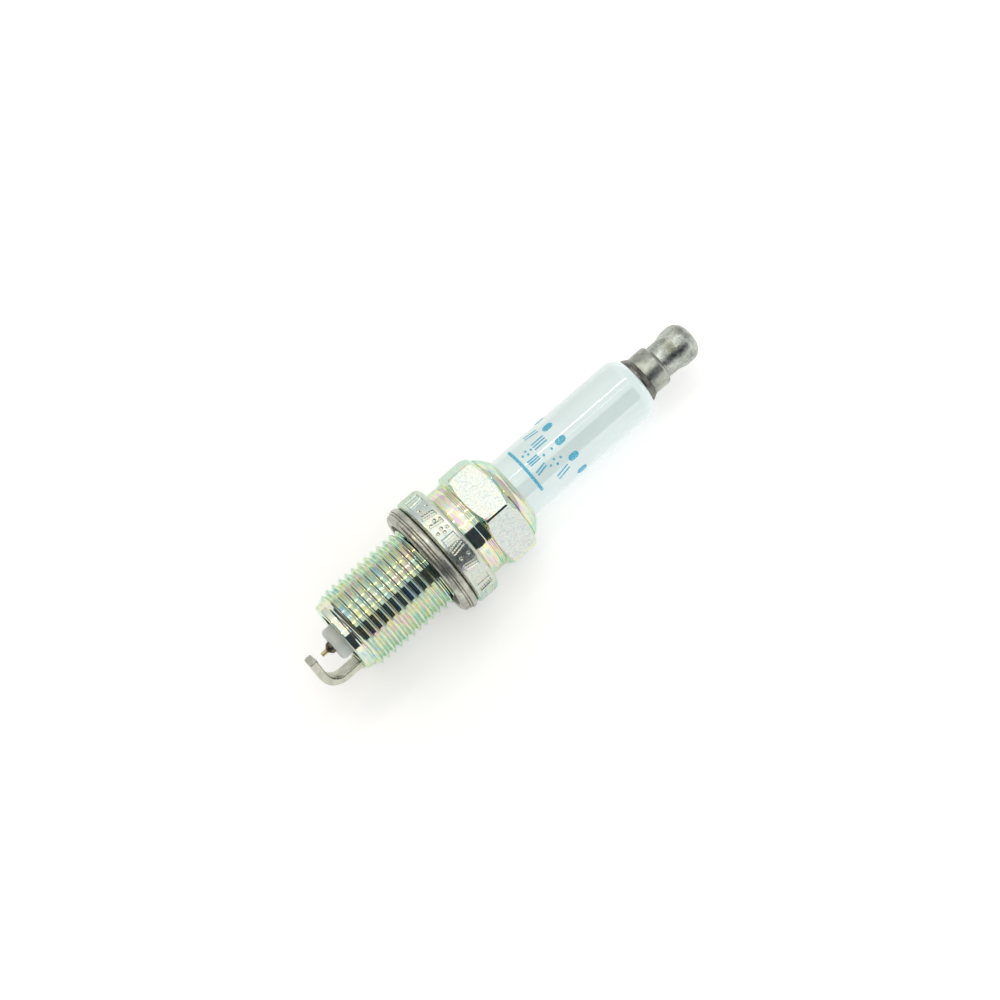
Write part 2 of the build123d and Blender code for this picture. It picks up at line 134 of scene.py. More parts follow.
# Terminal
STUD = 1.5
STUD_THREAD = 1.9
TERMINAL_STEP = 44.0
TERMINAL_NECK = 2.77
BULB_START = 45.55
BULB_LENGTH = 2.05
BULB = 3.175

# Centre electrode
SHEATH = 0.97
CORE = 0.58
CORE_END = -20.4

# Side electrode, in the half-plane that is STRAP_ANGLE round from straight up
STRAP_ANGLE = math.radians(150)
STRAP_WIDTH = 2.4
STRAP_THICKNESS = 1.3
STRAP_INNER = 4.65
STRAP_BEND = 2.0
STRAP_PAST_AXIS = 0.75
STRAP_MIDDLE = STRAP_INNER + STRAP_THICKNESS / 2
STRAP_CORNER = 0.32
BEND_PIECES = 16
WELD_BEAD = 0.26
WELD_UNEVEN = 0.07
WELD_SIDES = 8


# ---------------------------------------------------------------- mesh tools
def place(x, radius, step):
    angle = 2 * math.pi * step / STEPS
    return Vector((x, -radius * math.sin(angle), radius * math.cos(angle))) * MM


def ring(mesh, x, radius, steps=COARSE):
    """One turn of vertices, by step. x and radius are numbers, or functions of the step."""
    along = x if callable(x) else lambda step: x
    out = radius if callable(radius) else lambda step: radius
    return {step: mesh.verts.new(place(along(step), out(step), step)) for step in steps}


def pole(mesh, x):
    return {0: mesh.verts.new(place(x, 0, 0))}


def bridge(mesh, first, second, material=0):
    """Faces between two rings. The ring with fewer steps has no step that the other lacks."""
    few, many = (first, second) if len(first) <= len(second) else (second, first)
    if len(few) == 1:
        steps = sorted(many)
        for start, end in zip(steps, steps[1:] + steps[:1]):
            mesh.faces.new((few[0], many[start], many[end])).material_index = material
        return
    steps = sorted(few)
    for start, end in zip(steps, steps[1:] + [steps[0] + STEPS]):
        between = [many[step % STEPS] for step in range(start, end + 1) if step % STEPS in many]
        corners = [few[start]] + between + [few[end % STEPS]]
        mesh.faces.new(corners).material_index = material


def bridge_all(mesh, rings, material=0):
    for first, second in zip(rings, rings[1:]):
        bridge(mesh, first, second, material)


def outline_rings(mesh, outline, steps=COARSE):
    return [ring(mesh, x, r, steps) if r > 0 else pole(mesh, x) for x, r in outline]


def swing(start, end, share):
    """The vector that lies a share of the way round from start to end, the shorter way."""
    first = math.atan2(start.y, start.x)
    turn = (math.atan2(end.y, end.x) - first + math.pi) % (2 * math.pi) - math.pi
    angle = first + turn * share
    return Vector((math.cos(angle), math.sin(angle))) * start.length


def rounded(corners, closed=False, turn=18):
    """An outline through corners of (x, radius, rounding), each rounding drawn as an arc."""
    points = []
    for index, (x, radius, rounding) in enumerate(corners):
        here = Vector((x, radius))
        if not rounding or (not closed and index in (0, len(corners) - 1)):
            points.append((x, radius))
            continue
        before = (Vector(corners[index - 1][:2]) - here).normalized()
        after = (Vector(corners[(index + 1) % len(corners)][:2]) - here).normalized()
        inside = before.angle(after)
        centre = here + (before + after).normalized() * rounding / math.sin(inside / 2)
        start = here + before * rounding / math.tan(inside / 2) - centre
        end = here + after * rounding / math.tan(inside / 2) - centre
        pieces = max(2, round(math.degrees(math.pi - inside) / turn))
        for piece in range(pieces + 1):
            points.append(tuple(centre + swing(start, end, piece / pieces)))
    return points


def arc(start, middle, end, pieces):
    """Points of the circular arc through three (x, radius) points."""
    a, b, c = Vector(start), Vector(middle), Vector(end)
    d = 2 * (a.x * (b.y - c.y) + b.x * (c.y - a.y) + c.x * (a.y - b.y))
    sa, sb, sc = a.length_squared, b.length_squared, c.length_squared
    centre = Vector((
        (sa * (b.y - c.y) + sb * (c.y - a.y) + sc * (a.y - b.y)) / d,
        (sa * (c.x - b.x) + sb * (a.x - c.x) + sc * (b.x - a.x)) / d,
    ))
    return [tuple(centre + swing(a - centre, c - centre, i / pieces)) for i in range(pieces + 1)]


def make_piece(mesh, name, body, materials, replaced=()):
    """Turns a mesh into a piece that rides on a CAD body and stands for its CAD nodes."""
    bmesh.ops.remove_doubles(mesh, verts=mesh.verts, dist=WELD_DISTANCE)
    bmesh.ops.dissolve_degenerate(mesh, edges=mesh.edges, dist=WELD_DISTANCE)
    bmesh.ops.recalc_face_normals(mesh, faces=mesh.faces)
    for face in mesh.faces:
        face.smooth = True
    for edge in mesh.edges:
        edge.smooth = edge.is_manifold and edge.calc_face_angle() < SHARP_ANGLE
    data = bpy.data.meshes.new(name)
    mesh.to_mesh(data)
    mesh.free()
    for material in materials:
        data.materials.append(material)
    piece = bpy.data.objects.new(name, data)
    bpy.context.scene.collection.objects.link(piece)
    normals = piece.modifiers.new("flat faces stay flat", "WEIGHTED_NORMAL")
    normals.keep_sharp = True
    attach(piece, body)
    if replaced:
        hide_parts(*replaced)
    return piece


def lathe(name, outline, body, materials, replaced=(), closed=True):
    """A turned piece. An outline that isn't closed starts and ends on the axis."""
    mesh = bmesh.new()
    rings = outline_rings(mesh, outline)
    bridge_all(mesh, rings + rings[:1] if closed else rings)
    return make_piece(mesh, name, body, materials, replaced)


def use_material(piece, index, wanted):
    """Gives a piece's material with that index to the faces whose x and radius are wanted."""
    for polygon in piece.data.polygons:
        if wanted(in_mm(polygon.center.x), in_mm(polygon.center.yz.length)):
            polygon.material_index = index


# ---------------------------------------------------------------- material tools
class Shader:
    """A material with one Principled shader, and short ways to add what feeds it."""

    def __init__(self, name, **surface):
        self.material = bpy.data.materials.new(name)
        self.material.use_nodes = True
        self.tree = self.material.node_tree
        self.tree.nodes.clear()
        self.surface = self.add("ShaderNodeBsdfPrincipled")
        self.set(**surface)
        output = self.add("ShaderNodeOutputMaterial")
        self.tree.links.new(self.surface.outputs[0], output.inputs["Surface"])
        self.place = self.add("ShaderNodeTexCoord").outputs["Object"]

    def add(self, kind, sockets=None, **settings):
        node = self.tree.nodes.new(kind)
        for name, value in settings.items():
            setattr(node, name, value)
        for name, value in (sockets or {}).items():
            self.feed(node.inputs[name], value)
        return node

    def feed(self, socket, value):
        if isinstance(value, bpy.types.NodeSocket):
            self.tree.links.new(value, socket)
        elif socket.type == "RGBA":
            socket.default_value = (*value, 1)
        else:
            socket.default_value = value

    def set(self, **surface):
        for name, value in surface.items():
            label = "IOR" if name == "ior" else name.replace("_", " ").title()
            self.feed(self.surface.inputs[label], value)

    def stretched(self, x, y, z):
        """Places in units of so many per metre, along each axis."""
        return self.add("ShaderNodeMapping", {"Vector": self.place, "Scale": (x, y, z)}).outputs[0]

    def noise(self, place, detail=3, rough=0.5, distortion=0.0):
        sockets = {
            "Vector": place,
            "Scale": 1.0,
            "Detail": detail,
            "Roughness": rough,
            "Distortion": distortion,
        }
        return self.add("ShaderNodeTexNoise", sockets).outputs["Fac"]

    def ramp(self, factor, stops):
        """A colour that changes with factor, through (position, colour) stops."""
        node = self.add("ShaderNodeValToRGB", {"Fac": factor})
        elements = node.color_ramp.elements
        while len(elements) < len(stops):
            elements.new(0.5)
        for element, (position, colour) in zip(elements, stops):
            element.position = position
            element.color = (*colour, 1)
        return node.outputs["Color"]

    def scale(self, factor, low, high, start=0.0, end=1.0):
        """Takes a factor from start..end to low..high."""
        sockets = {
            "Value": factor,
            "From Min": start,
            "From Max": end,
            "To Min": low,
            "To Max": high,
        }
        return self.add("ShaderNodeMapRange", sockets).outputs["Result"]

    def mix(self, factor, first, second, how="MIX"):
        node = self.add("ShaderNodeMix", data_type="RGBA", blend_type=how)
        self.feed(node.inputs["Factor"], factor)
        colours = [socket for socket in node.inputs if socket.type == "RGBA"]
        self.feed(colours[0], first)
        self.feed(colours[1], second)
        return [socket for socket in node.outputs if socket.type == "RGBA"][0]

    def darken(self, colour, grain, most):
        """Darkens a colour by up to some share where the grain is low."""
        low = tuple(1 - most * part for part in (1.0, 0.92, 0.84))
        height = self.scale(grain, 0.0, 1.0, 0.38, 0.6)
        spots = self.ramp(height, [(0.0, low), (1.0, (1.0, 1.0, 1.0))])
        return self.mix(1.0, colour, spots, "MULTIPLY")

    def bump(self, height, depth, under=None):
        """Relief of up to depth metres."""
        sockets = {"Height": height, "Strength": 1.0, "Distance": depth}
        if under is not None:
            sockets["Normal"] = under
        return self.add("ShaderNodeBump", sockets).outputs["Normal"]


# Colours of the passivation film, by its thickness
FILM_COLOURS = (
    (0.10, (0.50, 0.62, 0.84)),
    (0.30, (0.52, 0.78, 0.58)),
    (0.48, (0.78, 0.84, 0.76)),
    (0.66, (0.94, 0.88, 0.42)),
    (0.88, (0.80, 0.60, 0.76)),
)
PLAIN_ZINC = (0.78, 0.83, 0.80)
ZINC_EDGE = (0.74, 0.92, 0.78)
ALUMINA_IOR = 1.76


def zinc(name, roughness, grain_size, grain_depth, tint, brightness, shift=0.0, mottle=0.0):
    """Bright zinc plate, whose clear passivation film shows faint colours. A positive shift
    makes the film more yellow and pink, and mottle darkens its grain."""
    shader = Shader(name, metallic=1.0, specular_tint=ZINC_EDGE)
    fine = shader.noise(shader.stretched(1900, 330, 330), detail=4, rough=0.55, distortion=0.8)
    wide = shader.noise(shader.stretched(130, 260, 260), detail=2)
    sockets = {0: wide, 1: 0.5, 2: fine}
    film = shader.add("ShaderNodeMath", sockets, operation="MULTIPLY_ADD").outputs[0]
    film = shader.scale(film, 0.0, 1.0, 0.55 - shift, 0.95 - shift)
    colours = shader.ramp(film, [
        (position, tuple(brightness * part for part in colour)) for position, colour in FILM_COLOURS
    ])
    colour = shader.mix(tint, tuple(brightness * part for part in PLAIN_ZINC), colours)
    grain = shader.noise(shader.stretched(*[1 / grain_size] * 3), detail=5, rough=0.6)
    if mottle:
        colour = shader.darken(colour, grain, mottle)
    turned = shader.noise(shader.stretched(9000, 90, 90), detail=2)
    normal = shader.bump(grain, grain_depth)
    normal = shader.bump(turned, 1.5e-6, normal)
    shader.set(
        base_color=colour,
        roughness=shader.scale(grain, roughness * 0.75, roughness * 1.3, 0.3, 0.7),
        normal=normal,
    )
    return shader.material


def metal(name, dark, light, roughness, grain_size, grain_depth, lines=0.0, mottle=0.0):
    """Any metal but zinc, mottled between two colours. Lines is the depth of the turning
    lines, and mottle darkens the grain."""
    shader = Shader(name, metallic=1.0)
    cloud = shader.noise(shader.stretched(500, 500, 500), detail=5, rough=0.6)
    grain = shader.noise(shader.stretched(*[1 / grain_size] * 3), detail=4, rough=0.65)
    colour = shader.mix(shader.scale(cloud, 0.0, 1.0, 0.35, 0.65), dark, light)
    if mottle:
        colour = shader.darken(colour, grain, mottle)
    normal = shader.bump(grain, grain_depth)
    if lines:
        turned = shader.noise(shader.stretched(14000, 60, 60), detail=2)
        normal = shader.bump(turned, lines, normal)
    shader.set(
        base_color=colour,
        roughness=shader.scale(grain, roughness * 0.75, roughness * 1.3, 0.3, 0.7),
        normal=normal,
    )
    return shader.material


def ceramic(name, dark, light, roughness, grain_size, grain_depth, coat=0.0):
    """Alumina, glass or pressed powder, mottled between two colours."""
    shader = Shader(name, metallic=0.0, ior=ALUMINA_IOR)
    cloud = shader.noise(shader.stretched(140, 260, 260), detail=4, rough=0.55)
    grain = shader.noise(shader.stretched(*[1 / grain_size] * 3), detail=3)
    shader.set(
        base_color=shader.mix(shader.scale(cloud, 0.0, 1.0, 0.35, 0.65), dark, light),
        roughness=shader.scale(grain, roughness * 0.8, roughness * 1.25, 0.3, 0.7),
        normal=shader.bump(grain, grain_depth),
        coat_weight=coat,
    )
    return shader.material


def ink():
    """Fired print, thin enough in places to let the glaze show."""
    shader = Shader("blue_print", metallic=0.0)
    thin = shader.noise(shader.stretched(5000, 5000, 5000), detail=3)
    blues = [(0.30, (0.36, 0.70, 0.80)), (0.45, (0.10, 0.47, 0.66)), (0.7, (0.06, 0.40, 0.62))]
    shader.set(
        base_color=shader.ramp(thin, blues),
        roughness=shader.scale(thin, 0.35, 0.2, 0.3, 0.7),
        normal=shader.bump(thin, 2e-6),
    )
    return shader.material


# Zinc: name, roughness, size and depth of the grain in metres, then how much of the film's
# colour shows and how bright it is
BRIGHT_ZINC = zinc("bright_zinc", 0.06, 0.0006, 1e-6, 0.74, 0.92)
NECK_ZINC = zinc("neck_zinc", 0.07, 0.0007, 1.2e-6, 0.84, 0.92, shift=0.06)
SATIN_ZINC = zinc("satin_zinc", 0.28, 0.0003, 3e-6, 0.35, 0.86, mottle=0.12)
GRAINED_ZINC = zinc("grained_zinc", 0.27, 0.00042, 4e-5, 0.16, 0.93, mottle=0.2)

# Metal and ceramic: name, two colours, roughness, then size and depth of the grain in metres
GASKET_STEEL = metal(
    "folded_steel", (0.31, 0.31, 0.27), (0.62, 0.62, 0.55), 0.32, 0.0003, 4e-6, lines=2e-6
)
PACKING_STEEL = metal(
    "drawn_steel", (0.42, 0.41, 0.39), (0.55, 0.54, 0.51), 0.4, 0.0003, 4e-6, lines=2e-6
)
# The terminal's nickel is darker than the plated metal: painted shade, standing in for the shadowed
# table that its lower side reflects.
TERMINAL_NICKEL_AND_PAINTED_SHADE = metal(
    "terminal_nickel_and_painted_shade", (0.26, 0.27, 0.24), (0.50, 0.52, 0.46), 0.33, 0.0003, 1.4e-5, lines=2e-6
)
BULB_NICKEL = metal(
    "bulb_nickel", (0.30, 0.32, 0.28), (0.64, 0.67, 0.60), 0.3, 0.0003, 4e-5, mottle=0.28
)
# The flange's nickel is near black: painted shade for the narrow gap between the insulator's end and the
# terminal, where it sits.
FLANGE_NICKEL_AND_PAINTED_SHADE = metal(
    "flange_nickel_and_painted_shade", (0.09, 0.09, 0.08), (0.24, 0.24, 0.21), 0.3, 0.0003, 6e-6, lines=4e-6
)
NICKEL = metal("satin_nickel", (0.44, 0.44, 0.37), (0.64, 0.64, 0.54), 0.27, 0.00025, 6e-6)
SHEATH_NICKEL = metal("dark_nickel", (0.09, 0.08, 0.06), (0.2, 0.18, 0.12), 0.3, 0.0002, 3e-6)
PRECIOUS = metal("precious_tip", (0.24, 0.22, 0.12), (0.56, 0.50, 0.26), 0.28, 0.0001, 3e-6)
COPPER = metal(
    "drawn_copper", (0.62, 0.33, 0.20), (0.80, 0.45, 0.30), 0.35, 0.0003, 4e-6, lines=2e-6
)
GLAZE = ceramic(
    "glazed_alumina", (0.70, 0.83, 0.83), (0.76, 0.88, 0.88), 0.09, 0.0012, 2.5e-6, coat=1.0
)
BARE_ALUMINA = ceramic(
    "bare_alumina", (0.60, 0.66, 0.64), (0.68, 0.73, 0.70), 0.42, 0.0002, 3e-6
)
GLASS_SEAL = ceramic(
    "fused_glass_seal", (0.10, 0.10, 0.11), (0.22, 0.22, 0.23), 0.3, 0.0002, 8e-6
)
RESISTOR = ceramic(
    "resistor_slug", (0.03, 0.03, 0.032), (0.08, 0.078, 0.075), 0.7, 0.00015, 1e-5
)
TALC = ceramic("pressed_talc", (0.70, 0.68, 0.62), (0.82, 0.80, 0.74), 0.85, 0.0002, 1.2e-5)
BLUE_PRINT = ink()


# ---------------------------------------------------------------- marks
# Abstract marks, in a box one unit long along the plug's axis and one unit wide round it.
# Each stroke is a pair of ends; a dot is a stroke with both ends in one place.
SLASHES = (((-0.5, -0.38), (0.5, -0.06)), ((-0.5, 0.06), (0.5, 0.38)))
BACKSLASHES = (((0.5, -0.38), (-0.5, -0.06)), ((0.5, 0.06), (-0.5, 0.38)))
BARS = (((-0.5, -0.36), (0.5, -0.36)), ((-0.5, 0.0), (0.5, 0.0)), ((-0.5, 0.36), (0.5, 0.36)))
TWO_DOTS = tuple(((x, 0.0), (x, 0.0)) for x in (-0.35, 0.35))
DIAMOND = ((-0.45, 0.0), (0.0, -0.33), (0.0, 0.33), (0.45, 0.0))
DIAMOND_DOTS = tuple((corner, corner) for corner in DIAMOND)
MARK_ORDER = (SLASHES, DIAMOND_DOTS, BARS, BACKSLASHES, TWO_DOTS)

COLLAR_MARK_MIDDLE = 2.02
COLLAR_MARK_HEIGHT = 2.0
COLLAR_MARK_WIDTH = 1.15
COLLAR_STROKE = 0.17
COLLAR_STROKE_EDGE = 0.12
COLLAR_MARK_DEPTH = 0.13
COLLAR_BURR = 0.025
COLLAR_PLAIN = COLLAR_RADIUS - COLLAR_BURR
COLLAR_PLACES = 36
COLLAR_PITCH = 360 / COLLAR_PLACES
COLLAR_GAPS = (6, 17, 23)  # places that have no mark


def stroke_distance(along, across, start, end):
    line = Vector(end) - Vector(start)
    away = Vector((along, across)) - Vector(start)
    share = 0.0
    if line.length > 0:
        share = min(1.0, max(0.0, away.dot(line) / line.length_squared))
    return (away - line * share).length


def collar_radius(x, step):
    """The collar's band, with its stamped marks sunk in and their edges raised."""
    angle = 360 * step / STEPS
    number = round(angle / COLLAR_PITCH)
    if number % COLLAR_PLACES in COLLAR_GAPS:
        return COLLAR_PLAIN
    along = x - COLLAR_MARK_MIDDLE
    across = math.radians(angle - number * COLLAR_PITCH) * COLLAR_RADIUS
    size = Vector((COLLAR_MARK_HEIGHT, COLLAR_MARK_WIDTH))
    away = min(
        stroke_distance(along, across, Vector(start) * size, Vector(end) * size)
        for start, end in MARK_ORDER[number % len(MARK_ORDER)]
    )
    sunk = min(1.0, max(0.0, (COLLAR_STROKE + COLLAR_STROKE_EDGE - away) / COLLAR_STROKE_EDGE))
    sunk = sunk * sunk * (3 - 2 * sunk)
    burr = max(0.0, 1 - abs(away - COLLAR_STROKE - COLLAR_STROKE_EDGE) / COLLAR_STROKE_EDGE)
    return COLLAR_PLAIN + COLLAR_BURR * burr - COLLAR_MARK_DEPTH * sunk


# ---------------------------------------------------------------- shell
def smooth_min(a, b, blend):
    overlap = max(blend - abs(a - b), 0.0) / blend
    return min(a, b) - overlap * overlap * blend / 4


def thread_radius(offset):
    """Rolled 60 degree thread, with offset measured along the axis from a groove's middle."""
    away = abs((offset + PITCH / 2) % PITCH - PITCH / 2)
    flank = ROOT + (away - PITCH / 12) / math.tan(HALF_GROOVE_ANGLE)
    flank = -smooth_min(-flank, -ROOT, THREAD_ROUNDING)
    return smooth_min(flank, CREST, THREAD_ROUNDING)


def thread_limit(x):
    lead_in = PILOT + (x - THREAD_FROM) * (CREST - PILOT) / THREAD_LEAD
    run_out = RELIEF + 2 * (THREAD_TO - x)
    return min(CREST, lead_in, run_out)


def add_thread(mesh):
    """The thread, as rows that wind round the shank and stop at its two ends."""
    turns = math.ceil((THREAD_TO - THREAD_FROM) / PITCH) + 3
    columns = list(COARSE)
    rows = []
    for row in range((turns + 1) * THREAD_ROWS + 1):
        offset = (row / THREAD_ROWS - 2) * PITCH
        vertices = []
        for step in columns:
            x = GROOVE_START + PITCH * step / STEPS + offset
            x = min(THREAD_TO, max(THREAD_FROM, x))
            radius = min(thread_radius(offset), thread_limit(x))
            vertices.append(mesh.verts.new(place(x, radius, step)))
        rows.append(vertices)
    for row in range(turns * THREAD_ROWS):
        low = rows[row] + [rows[row + THREAD_ROWS][0]]
        high = rows[row + 1] + [rows[row + 1 + THREAD_ROWS][0]]
        for column in range(len(columns)):
            mesh.faces.new((low[column], low[column + 1], high[column + 1], high[column]))
    for vertex in rows[-1][1:] + [v for r in rows[-THREAD_ROWS:] for v in r]:
        if vertex.is_valid and not vertex.link_faces:
            mesh.verts.remove(vertex)


def hex_radius(step):
    """The hexagon's outline, with its corners rounded."""
    angle = abs(math.radians((360 * step / STEPS + 30) % 60 - 30))
    if angle <= math.atan2(HEX_FLAT_HALF_WIDTH, HEX_APOTHEM):
        return HEX_APOTHEM / math.cos(angle)
    centre = (HEX_APOTHEM - HEX_ROUNDING) / math.cos(HALF_FLAT)
    from_corner = HALF_FLAT - angle
    reach = math.sqrt(HEX_ROUNDING**2 - (centre * math.sin(from_corner)) ** 2)
    return centre * math.cos(from_corner) + reach


def under_edge(step):
    return hex_radius(step) - HEX_EDGE


def on_start_cone(radius):
    return HEX_START + (radius - HEX_START_RADIUS) / HEX_CONE


def on_end_cone(radius):
    return HEX_END - (radius - HEX_END_RADIUS) / HEX_CONE


def add_shank(mesh):
    """End face, pilot, thread and relief. Returns the first and the last ring."""
    end = outline_rings(mesh, rounded([
        (SHELL_END, END_BORE + 0.2, 0),
        (SHELL_END, PILOT - 0.03, 0.22),
        (SHELL_END + 0.27, PILOT, 0.1),
        (THREAD_FROM, PILOT, 0),
    ]))
    bridge_all(mesh, end)
    add_thread(mesh)
    relief = outline_rings(mesh, rounded([
        (THREAD_TO, RELIEF, 0),
        (0, RELIEF, 0.3),
        (0, RELIEF + 0.6, 0),
    ]))
    bridge_all(mesh, relief)
    return end[0], relief[-1]


def add_collar(mesh):
    """The collar, with a band fine enough for its marks."""
    lower_edge = rounded([
        (0, 8.8, 0),
        (0, 9.05, 0.06),
        (0.32, COLLAR_PLAIN, 0.12),
        (0.6, COLLAR_PLAIN, 0),
    ])
    upper_edge = rounded([
        (COLLAR_HEIGHT - 0.9, COLLAR_PLAIN, 0),
        (COLLAR_HEIGHT, COLLAR_PLAIN, COLLAR_ROUND),
        (COLLAR_HEIGHT, 8.5, 0),
    ], turn=13)
    band_start, band_end = lower_edge[-1][0], upper_edge[0][0]
    rings = [ring(mesh, x, r, FINE) for x, r in lower_edge]
    for row in range(1, COLLAR_ROWS):
        x = band_start + (band_end - band_start) * row / COLLAR_ROWS
        rings.append(ring(mesh, x, lambda step, x=x: collar_radius(x, step), FINE))
    return rings + [ring(mesh, x, r, FINE) for x, r in upper_edge]


def add_neck(mesh):
    """The bulged neck, with rings left by the tool next to the hexagon."""
    neck = rounded([(COLLAR_HEIGHT, 8.0, 0), (COLLAR_HEIGHT, 7.5, 0.12), (4.35, NECK - 0.08, 0)])
    neck += arc((4.45, NECK - 0.06), (5.3, NECK), (6.1, NECK - 0.06), 6)
    for groove in range(TOOL_RINGS):
        x = 6.22 + TOOL_RING_PITCH * groove
        bottom = 7.55 + 0.03 * groove
        neck += [(x, bottom), (x + 0.07, bottom + 0.11), (x + 0.19, bottom + 0.11)]
    neck.append((HEX_START - 0.02, HEX_START_RADIUS - 0.08))
    return outline_rings(mesh, neck, HEX_STEPS)


def add_hexagon(mesh):
    """The hexagon. At each end a cone meets the flats along a curve."""
    places = [
        (HEX_START + 0.02, HEX_START_RADIUS),
        (lambda step: on_start_cone(under_edge(step)), under_edge),
        (lambda step: on_start_cone(hex_radius(step)) + HEX_EDGE, hex_radius),
        (lambda step: on_end_cone(hex_radius(step)) - HEX_EDGE, hex_radius),
        (lambda step: on_end_cone(under_edge(step)), under_edge),
        (HEX_END, HEX_END_RADIUS),
    ]
    return [ring(mesh, x, radius, HEX_STEPS) for x, radius in places]


def add_crimp(mesh):
    """The dome and the lip that are crimped over the insulator."""
    dome = [(HEX_END + 0.03, 7.33), (HEX_END + 0.1, 7.28)]
    dome += arc((HEX_END + 0.14, 7.34), (13.85, 6.65), (CRIMP_END - 0.28, 5.98), 9)
    dome += rounded([
        (CRIMP_END - 0.26, 5.88, 0),
        (CRIMP_END - 0.12, 5.82, 0.05),
        (CRIMP_END, 5.68, 0.06),
        (CRIMP_END, LIP + 0.05, 0.08),
        (14.4, LIP, 0),
    ])
    return outline_rings(mesh, dome, HEX_STEPS)


def add_bore(mesh):
    """The inside, from the lip back to the end face."""
    inside = arc((13.75, LIP), (13.2, 6.2), (12.3, CHAMBER), 4)
    inside += [(2.4, CHAMBER), (0.6, BODY_BORE), (-6.3, BODY_BORE), (-7.3, LEDGE), (-8.15, LEDGE)]
    inside += [(-8.6, END_BORE)]
    inside += rounded([
        (-8.6, END_BORE, 0),
        (SHELL_END, END_BORE, 0.15),
        (SHELL_END, END_BORE + 0.2, 0),
    ])[1:-1]
    return outline_rings(mesh, inside)


def mark_flats(mesh, hexagon):
    """Gives the flats, but not their rounded corners, the grained finish."""
    on_flats = set(hexagon[2].values()) | set(hexagon[3].values())
    for face in mesh.faces:
        if set(face.verts) <= on_flats:
            middle = face.calc_center_median()
            angle = math.degrees(math.atan2(middle.y, middle.z))
            from_corner = math.radians(abs(angle % 60 - 30)) * HEX_APOTHEM / math.cos(HALF_FLAT)
            if from_corner > HEX_ROUNDING * math.tan(HALF_FLAT):
                face.material_index = 1


def make_shell():
    mesh = bmesh.new()
    end, relief = add_shank(mesh)
    collar = add_collar(mesh)
    neck = add_neck(mesh)
    hexagon = add_hexagon(mesh)
    crimp = add_crimp(mesh)
    bore = add_bore(mesh)
    bridge_all(mesh, [relief] + collar + neck + hexagon + crimp + bore + [end])
    mark_flats(mesh, hexagon)
    materials = [BRIGHT_ZINC, GRAINED_ZINC, SATIN_ZINC, NECK_ZINC]
    shell = make_piece(mesh, "shell_body", "plug", materials, ["shell"])
    use_material(shell, 2, lambda x, radius: 0 < x < COLLAR_HEIGHT and radius > 9.0)
    use_material(shell, 3, lambda x, radius: COLLAR_HEIGHT < x < HEX_START - 0.05 and radius > 7.0)


make_shell()


# ---------------------------------------------------------------- gasket
def make_gasket():
    """Two rolls with two fine folds between them, and the lip that holds it on the shank."""
    outline = rounded([
        (GASKET_FRONT, 7.75, 0.12),
        (GASKET_FRONT, GASKET_RADIUS - 0.3, 0.7),
        (-1.62, GASKET_RADIUS - 0.3, 0.1),
        (-1.55, GASKET_RADIUS - 0.5, 0.03),
        (-1.48, GASKET_RADIUS - 0.12, 0.06),
        (-1.26, GASKET_RADIUS - 0.1, 0.06),
        (-1.19, GASKET_RADIUS - 0.4, 0.03),
        (-1.12, GASKET_RADIUS, 0.1),
        (GASKET_BACK, GASKET_RADIUS, 0.72),
        (GASKET_BACK, 6.4, 0.15),
        (GASKET_BACK - GASKET_SHEET, 6.4, 0.15),
        (GASKET_BACK - GASKET_SHEET, 7.45, 0.1),
    ], closed=True)
    lathe("gasket_ring", outline, "gasket", [GASKET_STEEL], ["gasket"])


make_gasket()


# ---------------------------------------------------------------- insulator
def make_insulator():
    outline = rounded([
        (NOSE_END, LOWER_BORE, 0),
        (NOSE_END, NOSE, 0.6),
        (-18.1, NOSE, 1.0),
        (-8.105, NOSE_ROOT, 0.5),
        (-7.105, NOSE_ROOT, 0.1),
        (-6.005, INSULATOR_BODY, 0.1),
        (0.85, INSULATOR_BODY, 0.2),
        (2.65, INSULATOR_FLANGE, 0.3),
        (7.56, INSULATOR_FLANGE, 0.3),
        (8.4, 4.95, 0.3),
        (BARREL_START, 4.95, 0),
        (BARREL_START, BARREL_RADIUS, 0),
    ])
    outline += arc(
        (BARREL_ROUND_START, BARREL_RADIUS), (BARREL_END - 0.75, 4.75), (BARREL_END, 3.9), 9
    )
    outline += [(BARREL_END, UPPER_BORE), (-4.5, UPPER_BORE), (-5.47, LOWER_BORE)]
    materials = [GLAZE, BARE_ALUMINA]
    insulator = lathe("insulator_body", outline, "plug", materials, ["insulator"])
    use_material(insulator, 1, lambda x, radius: x < BARREL_START)


make_insulator()


# Print on the insulator. Places round it are in degrees from the side that faces the camera
PRINT_SIDE = 23.25
PRINT_TOP = 0.014
PRINT_FOOT = -0.03
PRINT_STROKE = 0.24
PRINT_DOT = 0.42
PRINT_LINE = 0.5
PRINT_LINE_X = 17.7
PRINT_LINE_ENDS = (-59, 33)
CAPSULE_X = 24.5
CAPSULE_WIDTH = 1.1
CAPSULE_HALF_LENGTH = 0.35
CAPSULE_PLACES = (-79, -44, -9.5, 25, 60)
LOWER_ROW_X = 19.5
LOWER_ROW_SIZE = Vector((1.75, 1.05))
LOWER_ROW_PLACES = (-31, -13, 6)
UPPER_ROW_X = 21.9
UPPER_ROW_SIZE = Vector((2.15, 1.4))
UPPER_ROW_PLACES = (-57, -31, -8.5, 12, 35)
CAPSULE_END_PIECES = 8
WOBBLE = 0.02
CUT_EVERY = 0.2


